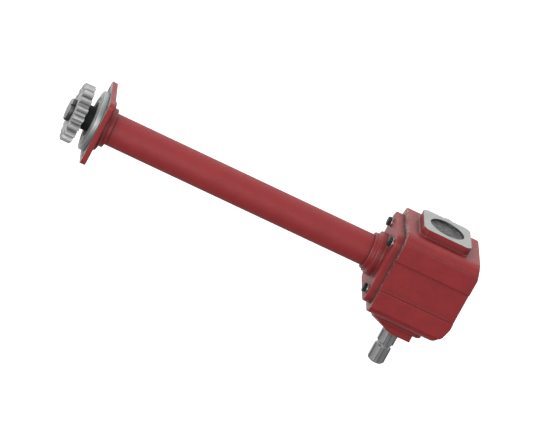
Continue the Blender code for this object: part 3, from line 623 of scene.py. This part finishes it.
def tube_flange():
    """The bolted flange with its hub and stepped collars, spot-faced under each washer."""
    (wide_end, wide_radius), (slim_end, slim_radius) = COLLARS
    hub_step, hub_end, spigot_radius = 70.0, 80.0, 65.0
    ring_start, ring_end, bearing_end = 64.0, 66.3, 104.3
    mesh = prism(TUBE, FLANGE_INNER - SPARE, FLANGE_OUTER,
                 round_corners(FLANGE_HALF, FLANGE_HALF, FLANGE_CORNER))
    mesh = add(mesh, turned(TUBE, [(hub_end, 0), (hub_end, wide_radius), (wide_end, wide_radius),
                                   (wide_end, slim_radius), (slim_end, slim_radius), (slim_end, 0)]))
    mesh = cast(mesh, VOXEL, 5)
    mesh = cut(mesh, prism(TUBE, FLANGE_INNER - 20, FLANGE_INNER, FAR_SQUARE))
    hub = turned(TUBE, [(HUB_INNER, 0), (HUB_INNER, HUB_RADIUS), (hub_step, HUB_RADIUS),
                        (hub_step, spigot_radius), (hub_end, spigot_radius), (hub_end, 0)])
    mesh = combine(mesh, hub, "UNION", "MANIFOLD")
    socket, shaft_hole = TUBE_RADIUS + GAP, 26.0
    bore = [(HUB_INNER - 5, 0), (HUB_INNER - 5, BORE_RADIUS), (ring_start, BORE_RADIUS),
            (ring_start, RING_GROOVE), (ring_end, RING_GROOVE), (ring_end, BORE_RADIUS),
            (bearing_end, BORE_RADIUS), (bearing_end, shaft_hole), (TUBE_START - GAP, shaft_hole),
            (TUBE_START - GAP, socket), (slim_end + 5, socket), (slim_end + 5, 0)]
    mesh = cut(mesh, turned(TUBE, bore))
    for first, second in bolt_places():
        hole = rod(TUBE, JOINT_FACE, FLANGE_OUTER + 5, BOLT_RADIUS + 0.5, 32)
        spot = rod(TUBE, SPOT_FACE, FLANGE_OUTER + 5, SPOT_RADIUS, 64)
        mesh = cut(mesh, shifted(hole, first, second, TUBE), shifted(spot, first, second, TUBE))
    piece("flange_casting", mesh, RED, "casing", ["tube_flange"],
          machined_faces=[(TUBE, SPOT_FACE, BARE_FACE)])


def end_flange():
    """The far plate: red back and edges, bare machined front."""
    mesh = prism(TUBE, PLATE_INNER, PLATE_OUTER + SPARE, round_corners(PLATE_HALF, PLATE_HALF, PLATE_CORNER))
    (slim_start, slim_radius), (wide_start, wide_radius) = PLATE_COLLARS
    mesh = add(mesh, turned(TUBE, [(slim_start, 0), (slim_start, slim_radius), (wide_start, slim_radius),
                                   (wide_start, wide_radius), (PLATE_OUTER - 5, wide_radius),
                                   (PLATE_OUTER - 5, 0)]))
    mesh = cast(mesh, VOXEL, 4)
    socket, spigot = TUBE_RADIUS + GAP, CARRIER_SPIGOT + GAP
    mesh = cut(mesh, prism(TUBE, PLATE_OUTER, PLATE_OUTER + 20, FAR_SQUARE),
               turned(TUBE, [(slim_start - 5, 0), (slim_start - 5, socket), (TUBE_END + GAP, socket),
                             (TUBE_END + GAP, spigot), (PLATE_OUTER + 5, spigot), (PLATE_OUTER + 5, 0)]))
    for side_a, side_b in FOUR_CORNERS:
        hole = rod(TUBE, PLATE_INNER - 5, PLATE_OUTER + 5, PLATE_HOLE_RADIUS, 48)
        mesh = cut(mesh, shifted(hole, side_a * PLATE_BOLT, side_b * PLATE_BOLT, TUBE))
    piece("end_flange_casting", mesh, RED, "casing", ["end_flange"],
          machined_faces=[(TUBE, PLATE_OUTER, BARE_FACE)])


def tube():
    profile = [(TUBE_START, TUBE_BORE), (TUBE_START, TUBE_RADIUS),
               (TUBE_END, TUBE_RADIUS), (TUBE_END, TUBE_BORE)]
    piece("tube", turned(TUBE, profile, 128), RED_TUBE, "casing", ["extension_tube"],
          bevel=0.8)


def pilot():
    """The turned bearing carrier in the end plate, with a raised ring and a groove on its face."""
    face, rim, groove = CARRIER_FACE, CARRIER_FACE - 1.6, CARRIER_FACE - 2.0
    ring_start, ring_end = 699.9, 702.0
    shoulder, shaft_hole = CARRIER_START + 1.8, 30.0
    profile = [(CARRIER_START, shaft_hole), (CARRIER_START, CARRIER_SPIGOT - 1),
               (CARRIER_START + 1, CARRIER_SPIGOT), (PLATE_OUTER + GAP, CARRIER_SPIGOT),
               (PLATE_OUTER + GAP, CARRIER_RADIUS), (face - 3.0, CARRIER_RADIUS), (rim, CARRIER_RADIUS - 1.4),
               (rim, 52.6), (face, 52.0), (face, 46.0), (groove, 44.0), (groove, 40.0), (face, 38.5),
               (face, BORE_RADIUS), (ring_end, BORE_RADIUS), (ring_end, RING_GROOVE),
               (ring_start, RING_GROOVE), (ring_start, BORE_RADIUS), (shoulder, BORE_RADIUS),
               (shoulder, shaft_hole)]
    piece("pilot", turned(TUBE, profile, 128), PILOT, "casing", ["end_bearing_carrier"],
          bevel=0.5)


def cap():
    """The pressed cap that closes the rear bore: a raised rim round a slightly dished middle."""
    start, rim = 100.0, 104.0
    profile = [(start, 0), (start, CUP_RADIUS - 0.8), (start + 0.8, CUP_RADIUS), (rim, CUP_RADIUS),
               (rim, 33.2), (rim - 1.4, 31.6), (rim - 1.6, 22.0), (rim - 1.0, 20.0), (rim - 1.0, 0)]
    piece("cap", turned(REAR, profile), CAP, "casing", ["rear_cap"], bevel=0.3)


def lip_seals():
    """The rubber seals, each with its lip turned in to the shaft or the sleeve."""
    start, face, outer = 112.0, 122.0, 25.7
    profile = [(start, CONE_BORE), (start, outer - 0.3), (start + 0.3, outer), (face - 0.4, outer),
               (face, outer - 0.4), (face, 22.8), (face - 1.0, 21.6), (face - 1.8, 20.4),
               (face - 0.8, 19.0), (face - 0.4, CONE_BORE)]
    piece("input_lip_seal", turned(PTO, profile), RUBBER, "casing", ["input_seal"],
          bevel=0.15)
    start, face, inner = 702.6, 711.0, 25.3
    profile = [(start, inner), (start, CUP_RADIUS), (face, CUP_RADIUS), (face, 31.0), (face - 1.2, 29.4),
               (face - 1.8, 27.8), (face - 0.8, 26.6), (face - 0.4, inner)]
    piece("end_lip_seal", turned(TUBE, profile), RUBBER, "casing", ["end_seal"], bevel=0.15)


# ---------------------------------------------------------------- fasteners

def hex_head(axis, seat, top):
    """A hexagon head whose top corners are turned off to a 30 degree chamfer."""
    head = prism(axis, seat, top, hexagon(HEAD_FLAT))
    corner = HEAD_FLAT / math.cos(math.pi / 6)
    crown = 0.95 * HEAD_FLAT
    drop = (corner - crown) * math.tan(math.radians(30))
    turning = turned(axis, [(seat - 1, 0), (seat - 1, corner + 1), (top - drop, corner + 0.01),
                            (top, crown), (top, 0)], 72)
    return combine(head, turning, "INTERSECT")


def bolts_and_washers():
    bolt_start, head_height = 56.0, 6.5
    washer_start = FLANGE_OUTER + GAP
    seat = washer_start + WASHER_THICK + GAP
    for number, (first, second) in enumerate(bolt_places(), start=1):
        shank = turned(TUBE, [(bolt_start, 0), (bolt_start, BOLT_RADIUS - 1), (bolt_start + 1, BOLT_RADIUS),
                              (seat + 1, BOLT_RADIUS), (seat + 1, 0)], 32)
        bolt = add(hex_head(TUBE, seat, seat + head_height), shank)
        piece(f"bolt_{number}", shifted(bolt, first, second, TUBE), OXIDE, "casing",
              [f"flange_bolt_{number}"], bevel=0.25)
        washer = turned(TUBE, [(washer_start, 5.5), (washer_start, 10.0), (seat - GAP, 10.0),
                               (seat - GAP, 5.5)], 48)
        piece(f"washer_{number}", shifted(washer, first, second, TUBE), ZINC, "casing",
              [f"flange_washer_{number}"], bevel=0.35)


def plugs():
    """The filler, level and drain plugs, each with a collar on a copper washer."""
    washer_start, washer_end = PLUG_FACE + GAP, PLUG_FACE + 1.8
    collar_start, collar_end = washer_end + GAP, PLUG_FACE + 4.8
    start, shank_radius, collar_radius = CROWN_ROOM_END + 2, 8.0, 11.5
    for name, (first, second) in PLUGS.items():
        washer = turned(BACK, [(washer_start, 8.4), (washer_start, 12.0), (washer_end, 12.0),
                               (washer_end, 8.4)], 48)
        piece(name + "_seal", shifted(washer, first, second, BACK), COPPER, "casing", [name + "_washer"],
              bevel=0.3)
        shank = turned(BACK, [(start, 0), (start, shank_radius - 0.8), (start + 0.8, shank_radius),
                              (collar_start, shank_radius), (collar_start, collar_radius),
                              (collar_end, collar_radius), (collar_end, 0)], 48)
        plug = add(hex_head(BACK, PLUG_FACE + 4.0, PLUG_FACE + 10.0), shank)
        piece(name + "_head", shifted(plug, first, second, BACK), ZINC, "casing", [name],
              bevel=0.3)


# ---------------------------------------------------------------- gears and shafts

def involute(angle):
    return math.tan(angle) - angle


FILLET_POINTS, FLANK_POINTS = 4, 6


def tooth_outline(module, teeth, backlash):
    """Radius and angle round a whole gear, starting in a tooth space, with round tips and roots."""
    pitch = module * teeth / 2
    pressure_angle = math.radians(20)
    base = pitch * math.cos(pressure_angle)
    tip = pitch + module
    root = pitch - 1.25 * module
    fillet = 0.3 * module
    lowest = max(base, root + fillet)
    tip_round = 0.08 * module
    at_pitch = (math.pi * module / 2 - backlash) / (2 * pitch) + involute(pressure_angle)

    def half_angle(radius):
        return at_pitch - involute(math.acos(min(1.0, base / radius)))

    flank = []
    for k in range(FILLET_POINTS):
        turn = math.pi / 2 * k / FILLET_POINTS
        radius = root + fillet * (1 - math.cos(turn))
        flank.append((radius, half_angle(lowest) + fillet * (1 - math.sin(turn)) / root))
    for k in range(FLANK_POINTS):
        radius = lowest + (tip - tip_round - lowest) * k / (FLANK_POINTS - 1)
        flank.append((radius, half_angle(radius)))
    flank.append((tip, half_angle(tip) - tip_round / tip))
    points = []
    for tooth in range(teeth):
        centre = 2 * math.pi * tooth / teeth
        points.append((root, centre - math.pi / teeth))
        points.extend((radius, centre - angle) for radius, angle in flank)
        points.append((tip, centre))
        points.extend((radius, centre + angle) for radius, angle in reversed(flank))
    return points


def spur_gear():
    """The output gear: chamfered tooth ends, a relieved web and a boss on each face."""
    module, teeth, chamfer = 6.0, 18, 3.0
    outline = tooth_outline(module, teeth, backlash=0.3)
    tip = module * (teeth / 2 + 1)
    bore, boss, web_inner, web_outer, face = 16.3, 27.0, 28.5, 40.0, 41.5
    roots, web = 45.0, 1.2                       # where the flat face ends, and how deep the web is

    def section(along, limit):
        return [at(TUBE, along, min(radius, limit), angle) for radius, angle in outline]

    def hub(along, radius):
        return [at(TUBE, along, radius, (k - 1) * math.pi / teeth) for k in range(2 * teeth)]

    sections = [hub(SPUR_START, bore), hub(SPUR_START, boss), hub(SPUR_START + web, web_inner),
                hub(SPUR_START + web, web_outer), hub(SPUR_START, face), hub(SPUR_START, roots),
                section(SPUR_START, tip - 0.8), section(SPUR_START + 0.8, tip),
                section(SPUR_END - 1.6, tip), section(SPUR_END, tip - chamfer),
                hub(SPUR_END, roots), hub(SPUR_END, face), hub(SPUR_END - web, web_outer),
                hub(SPUR_END - web, web_inner), hub(SPUR_END, boss), hub(SPUR_END, bore)]
    piece("output_gear", skin(sections, closed=True), GEAR, "output_train", ["spur_gear"],
          bevel=0.2)


def centre_hole(end, taper):
    """The end of a shaft's profile: a centre drilling, 5 mm in radius at the mouth."""
    return [(end, 5.0), (end - taper, 2.0), (end - 6, 2.0), (end - 7, 0)]


def output_shaft():
    """The shaft through the tube, with a thread and a gear seat at each end and bearing seats between."""
    inner_thread, crown_seat, middle, spur_seat, outer_thread = 15.0, 17.2, 21.0, 16.0, 14.0
    thread_end, crown_end, bearing_end = 29.5, 67.4, 103.6
    profile = [(OUTPUT_START, 0), (OUTPUT_START, inner_thread - 1), (OUTPUT_START + 1, inner_thread),
               (thread_end, inner_thread), (thread_end, crown_seat), (crown_end, crown_seat),
               (crown_end, BEARING_SEAT), (bearing_end, BEARING_SEAT), (bearing_end, middle),
               (CARRIER_START, middle), (CARRIER_START, BEARING_SEAT), (SPUR_START - GAP, BEARING_SEAT),
               (SPUR_START - GAP, spur_seat), (SPUR_END + 0.2, spur_seat), (SPUR_END + 0.2, outer_thread),
               (OUTPUT_END - 1.5, outer_thread), (OUTPUT_END, outer_thread - 1.5),
               *centre_hole(OUTPUT_END, 3.0)]
    piece("through_shaft", turned(TUBE, profile), TURNED_X, "output_train", ["output_shaft"],
          bevel=0.2)


def black_sleeve():
    """The ring that the end seal runs on, with a fine groove round it."""
    start, end = reach("seal_sleeve", TUBE)
    outer, groove_start, groove_end, groove = 25.0, 716.0, 717.2, 24.4
    profile = [(start, CONE_BORE), (start, outer), (groove_start, outer), (groove_start, groove),
               (groove_end, groove), (groove_end, outer), (end, outer), (end, CONE_BORE)]
    piece("black_sleeve", turned(TUBE, profile), SLEEVE, "output_train", ["seal_sleeve"],
          bevel=0.4)


def shaft_nut():
    """The slotted nut that holds the spur gear; its front is bare, its rim dark."""
    start, end = reach("spur_nut", TUBE)
    nut = turned(TUBE, [(start, 14.3), (start, 21.7), (start + 0.8, 22.5), (end - 1.8, 22.5),
                        (end, 20.7), (end, 15.5), (end - 1.0, 14.3)])
    for k in range(4):
        angle = math.pi / 2 * (k + 0.5)
        slot = block((-OUTPUT_END - 5, -2.0, 20.3), (-start + 1, 2.0, 30))
        spin = Matrix.Rotation(angle, 4, "X")
        lift = Matrix.Translation((0, 0, AXIS_HEIGHT * MM))
        slot.transform(lift @ spin @ lift.inverted())
        nut = cut(nut, slot)
    made = piece("shaft_nut", nut, HUB, "output_train", ["spur_nut"], bevel=0.4)
    for face in made.data.polygons:
        if face.normal.dot(TUBE[0]) > 0.3:
            face.material_index = BARE_FACE


def input_shaft():
    """The through shaft; its splined end has six splines, a ring groove and a chamfered nose."""
    splines, tip, root, half_land = 6, 17.45, 14.7, 4.35
    fine = 6                                     # points across each land and each space

    def outline(limit):
        points = []
        for spline in range(splines):
            centre = 2 * math.pi * spline / splines
            land, foot = math.asin(half_land / tip), math.asin(half_land / root)
            space = 2 * math.pi / splines - 2 * foot
            for k in range(fine + 1):
                points.append((min(tip, limit), centre - land + 2 * land * k / fine))
            for k in range(fine + 1):
                points.append((min(root, limit), centre + foot + space * k / fine))
        return points

    def section(along, limit):
        return [at(PTO, along, radius, angle) for radius, angle in outline(limit)]

    sides = len(outline(tip))
    rear = -reach("input_shaft", PTO)[0]
    seat = BEARING_SEAT
    journal = [(-rear, 0), (-rear, seat - 1), (1 - rear, seat), (-77.7, seat), (-77.7, 22.0), (-62.0, 22.0),
               (-62.0, 18.0), (39.2, 18.0), (39.2, 16.8), (41.6, 16.8), (41.6, 18.0), (77.5, 18.0),
               (77.5, seat), (132.0, seat)]
    groove = PTO_END - 40.0
    cuts = [(134.0, tip), (136.0, tip), (groove - 4.5, tip), (groove - 3.2, root + 0.9),
            (groove - 2.0, root - 0.3), (groove + 2.0, root - 0.3), (groove + 3.2, root + 0.9),
            (groove + 4.5, tip), (PTO_END - 4.0, tip), (PTO_END - 1.0, root + 0.6), (PTO_END, root - 1.2)]
    sections = [ring(PTO, along, radius, sides) for along, radius in journal]
    sections += [section(along, limit) for along, limit in cuts]
    sections += [ring(PTO, along, radius, sides) for along, radius in centre_hole(PTO_END, 3.5)]
    piece("splined_shaft", skin(sections), TURNED_Y, "input_train", ["input_shaft"],
          bevel=0.25)


# ---------------------------------------------------------------- CAD pieces that stay

def dress_cad_nodes():
    """Materials for the CAD pieces that keep their own shape, nearly all of them inside the casings."""
    for name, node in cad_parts.items():
        if node.hide_render:
            continue
        if name in ("crown_gear", "bevel_pinion"):
            finish = GEAR
        elif name == "flange_gasket":
            finish = PAPER
        elif "bearing" in name:
            finish = BEARING
        else:
            finish = TURNED_X
        node.data.materials.clear()
        node.data.materials.append(finish)
        node.data.shade_smooth()
        node.data.set_sharp_from_angle(angle=math.radians(32))


# ---------------------------------------------------------------- stage

CROSSING = Vector((0, 0, AXIS_HEIGHT * MM))
MIDDLE = Vector((-0.2, 0.0, 0.1))


def wire(tree, *pairs):
    for output, socket in pairs:
        tree.links.new(output, socket)


def view_axes():
    """The camera's right, up and back directions; it looks down at the gearbox, rolled to one side."""
    back = Vector((-0.15921, 0.33348, 0.92922)).normalized()
    up = Vector((-0.42033, 0.82876, -0.36944)).normalized()
    right = up.cross(back).normalized()
    return right, back.cross(right), back


def camera(right, up, back):
    data = bpy.data.cameras.new("camera")
    data.lens = 320.6
    data.sensor_width = 36.0
    data.clip_start, data.clip_end = 0.1, 60.0
    made = bpy.data.objects.new("camera", data)
    turn = Matrix((right, up, back)).transposed()
    place = CROSSING + Vector((-1.8002, 3.1022, 8.7286))
    made.matrix_world = Matrix.Translation(place) @ turn.to_4x4()
    bpy.context.collection.objects.link(made)
    bpy.context.scene.camera = made


def paper():
    """White paper; what it throws back at the object is brighter towards +Y."""
    made = bpy.data.materials.new("paper")
    made.use_nodes = True
    tree = made.node_tree
    shader = tree.nodes["Principled BSDF"]
    shader.inputs["Base Color"].default_value = (0.6, 0.6, 0.6, 1.0)
    shader.inputs["Roughness"].default_value = 0.95
    shader.inputs["Emission Color"].default_value = (1.0, 1.0, 1.0, 1.0)
    ray, spot = tree.nodes.new("ShaderNodeLightPath"), tree.nodes.new("ShaderNodeTexCoord")
    apart, glow = tree.nodes.new("ShaderNodeSeparateXYZ"), tree.nodes.new("ShaderNodeMapRange")
    brighter = tree.nodes.new("ShaderNodeMath")
    brighter.operation = "MAXIMUM"
    set_range(glow, -1.5, 1.2, 0.3, 1.0)
    wire(tree, (spot.outputs["Object"], apart.inputs["Vector"]),
         (apart.outputs["Y"], glow.inputs["Value"]),
         (glow.outputs["Result"], brighter.inputs[0]),
         (ray.outputs["Is Camera Ray"], brighter.inputs[1]),
         (brighter.outputs["Value"], shader.inputs["Emission Strength"]))
    return made


def floor(half=20.0, level=-1.2):
    mesh = bpy.data.meshes.new("floor")
    mesh.from_pydata([(-half, -half, level), (half, -half, level), (half, half, level),
                      (-half, half, level)], [], [(0, 1, 2, 3)])
    mesh.materials.append(paper())
    made = bpy.data.objects.new("floor", mesh)
    bpy.context.collection.objects.link(made)


def backdrop(up):
    """A white room that is brighter towards the top of the view."""
    world = bpy.data.worlds.new("studio")
    world.use_nodes = True
    tree = world.node_tree
    shader = tree.nodes["Background"]
    shader.inputs["Color"].default_value = (1.0, 1.0, 1.0, 1.0)
    place = tree.nodes.new("ShaderNodeTexCoord")
    height, glow = tree.nodes.new("ShaderNodeVectorMath"), tree.nodes.new("ShaderNodeMapRange")
    height.operation = "DOT_PRODUCT"
    height.inputs[1].default_value = up
    set_range(glow, -0.8, 0.9, 0.2, 0.62)
    wire(tree, (place.outputs["Generated"], height.inputs[0]),
         (height.outputs["Value"], glow.inputs["Value"]),
         (glow.outputs["Result"], shader.inputs["Strength"]))
    bpy.context.scene.world = world


def area_light(name, place, size, watts):
    """A round lamp that shines at the middle of the object."""
    data = bpy.data.lights.new(name, "AREA")
    data.shape = "DISK"
    data.size = size
    data.energy = watts
    lamp = bpy.data.objects.new(name, data)
    lamp.location = place
    lamp.rotation_euler = (MIDDLE - place).to_track_quat("-Z", "Y").to_euler()
    bpy.context.collection.objects.link(lamp)


def studio():
    right, up, back = view_axes()
    camera(right, up, back)
    floor()
    backdrop(up)
    area_light("key", MIDDLE + up * 2.6 + back * 1.2, 1.8, 8.0)
    area_light("front", MIDDLE + back * 4.0 - right * 0.8, 2.4, 116.0)
    bpy.context.scene.view_settings.view_transform = "Standard"


studio()
housing()
tube_flange()
end_flange()
tube()
pilot()
cap()
lip_seals()
bolts_and_washers()
plugs()
spur_gear()
output_shaft()
black_sleeve()
shaft_nut()
input_shaft()
dress_cad_nodes()
